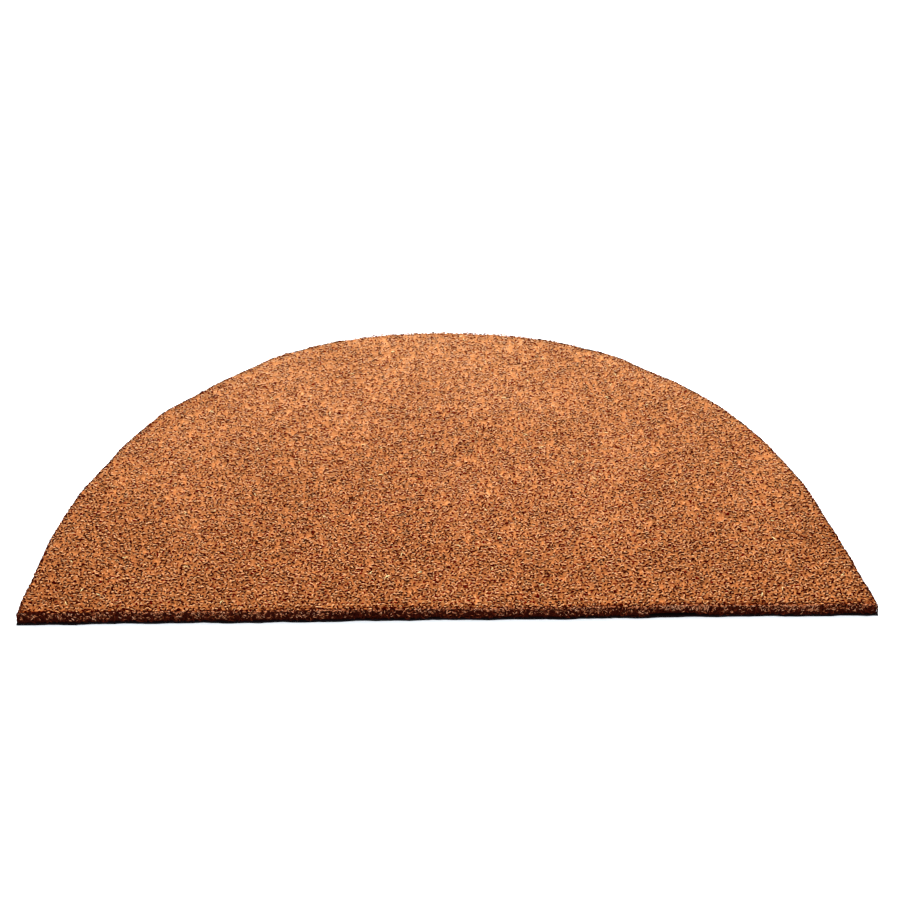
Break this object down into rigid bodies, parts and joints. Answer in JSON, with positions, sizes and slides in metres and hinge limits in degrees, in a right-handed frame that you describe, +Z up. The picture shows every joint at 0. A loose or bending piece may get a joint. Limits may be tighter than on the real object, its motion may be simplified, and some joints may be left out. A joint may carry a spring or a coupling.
{
  "type": "half round coir doormat",
  "caption": "Half round doormat of short dense coir pile on a thin black plastic backing, lying flat with a straight front edge.",
  "frame": {"origin": "on the floor, under the middle of the mat's box", "axes": "+X along the straight front edge, +Y from that edge towards the round back, +Z up"},
  "size_m": [0.75, 0.45, 0.0149],
  "materials": {
    "backing": "matt black plastic sheet, finely grained underneath and cut square at the edge",
    "coir": "dense curled coir fibre in orange tan with deep brown gaps and a few straw coloured strands"
  },
  "bodies": {
    "root": {"backing": "backing", "coir_pile": "coir"}
  },
  "joints": []
}
